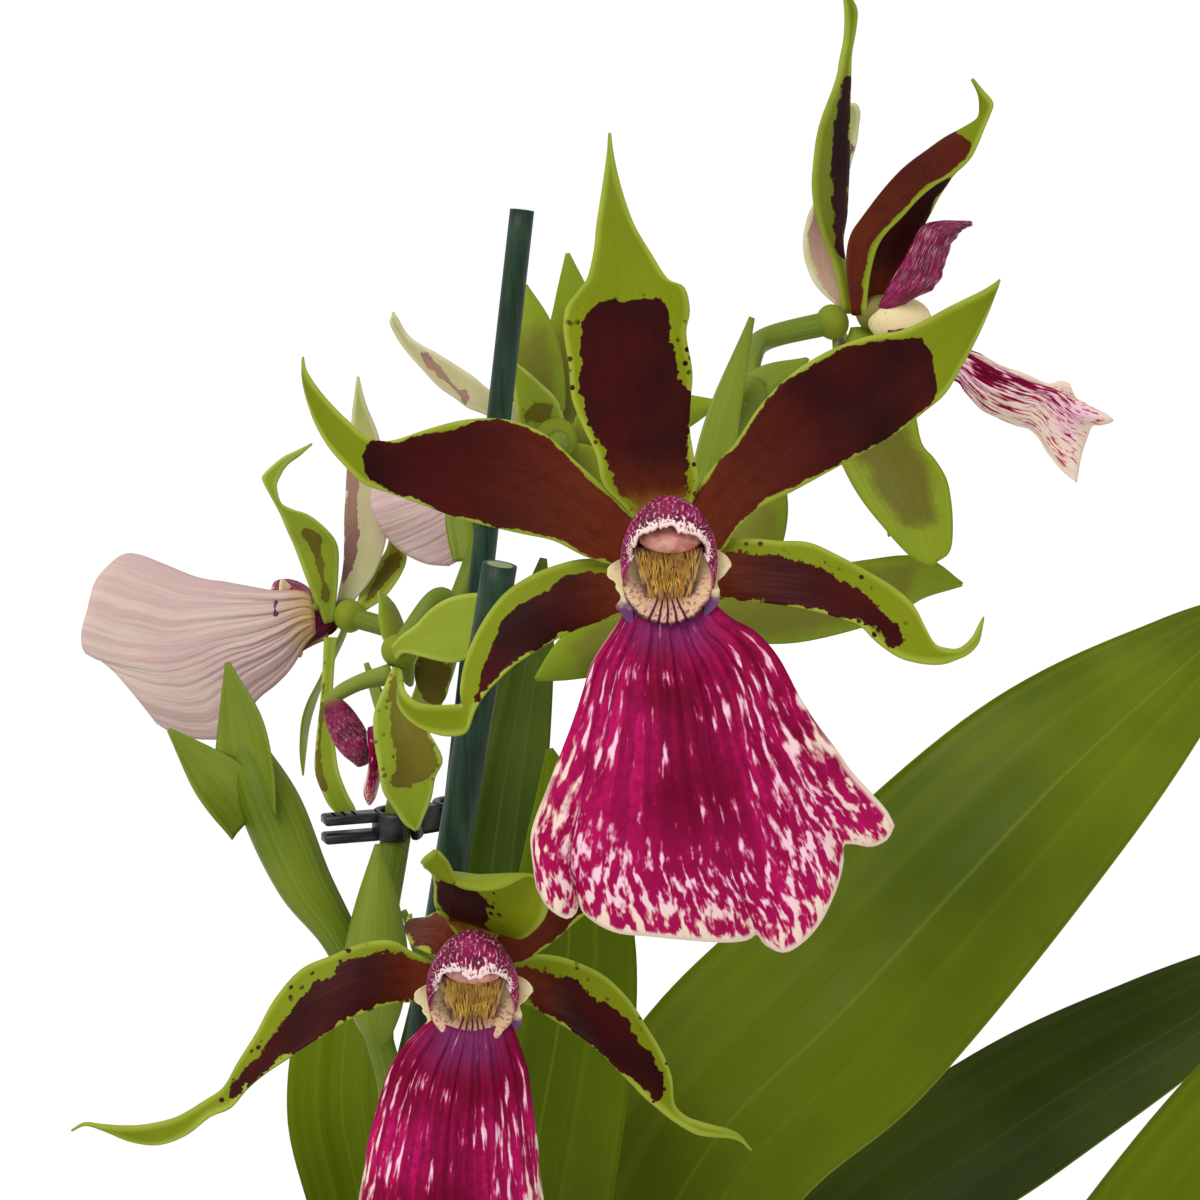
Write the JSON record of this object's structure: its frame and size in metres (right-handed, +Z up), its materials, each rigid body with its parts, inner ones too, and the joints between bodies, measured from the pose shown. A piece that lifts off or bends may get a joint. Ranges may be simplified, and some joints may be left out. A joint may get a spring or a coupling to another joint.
{
  "type": "potted zygolum orchid",
  "caption": "Zygolum orchid in a plain pot of bark, with strap leaves and staked flower spikes whose maroon and green blooms have broad striped magenta lips.",
  "frame": {"origin": "centre of the pot's flat base, at floor height", "axes": "+Z up along the pot's axis, -Y towards the side that the main bloom faces, +X to its right as seen from there"},
  "size_m": [0.4185, 0.3583, 0.4851],
  "materials": {
    "pot": "moulded satin, dark grey",
    "bark": "rough dry bark",
    "bulb": "smooth, ribbed, waxy",
    "leaf": "satin green with fine ribs",
    "stem": "smooth fresh green",
    "tepal": "waxy, maroon blotch in a green margin",
    "lip": "velvety, magenta with white streaks",
    "column": "waxy, magenta with pale flecks",
    "stake": "dyed dark green",
    "clip": "moulded gloss black"
  },
  "bodies": {
    "root": {"pot": "pot", "bark": "bark", "bulb_1": "bulb", "bulb_2": "bulb", "bulb_3": "bulb", "bulb_4": "bulb", "bulb_5": "bulb", "bulb_6": "bulb", "leaf_1": "leaf", "leaf_2": "leaf", "leaf_3": "leaf", "leaf_4": "leaf", "leaf_5": "leaf", "leaf_6": "leaf", "leaf_7": "leaf", "leaf_8": "leaf", "leaf_9": "leaf", "leaf_10": "leaf", "leaf_11": "leaf", "leaf_12": "leaf", "stake_front": "stake", "stake_rear": "stake", "spike_front": "stem", "spike_rear": "stem", "spike_young": "stem", "clip_1": "clip", "clip_2": "clip", "clip_3": "clip", "tepals_a": "tepal", "lip_a": "lip", "column_a": "column", "tepals_b": "tepal", "lip_b": "lip", "column_b": "column", "tepals_c": "tepal", "lip_c": "lip", "column_c": "column", "tepals_d": "tepal", "lip_d": "lip", "column_d": "column", "tepals_e": "tepal", "lip_e": "lip", "column_e": "column", "tepals_f": "tepal", "lip_f": "lip", "column_f": "column", "tepals_g": "tepal", "lip_g": "lip", "column_g": "column"}
  },
  "joints": []
}
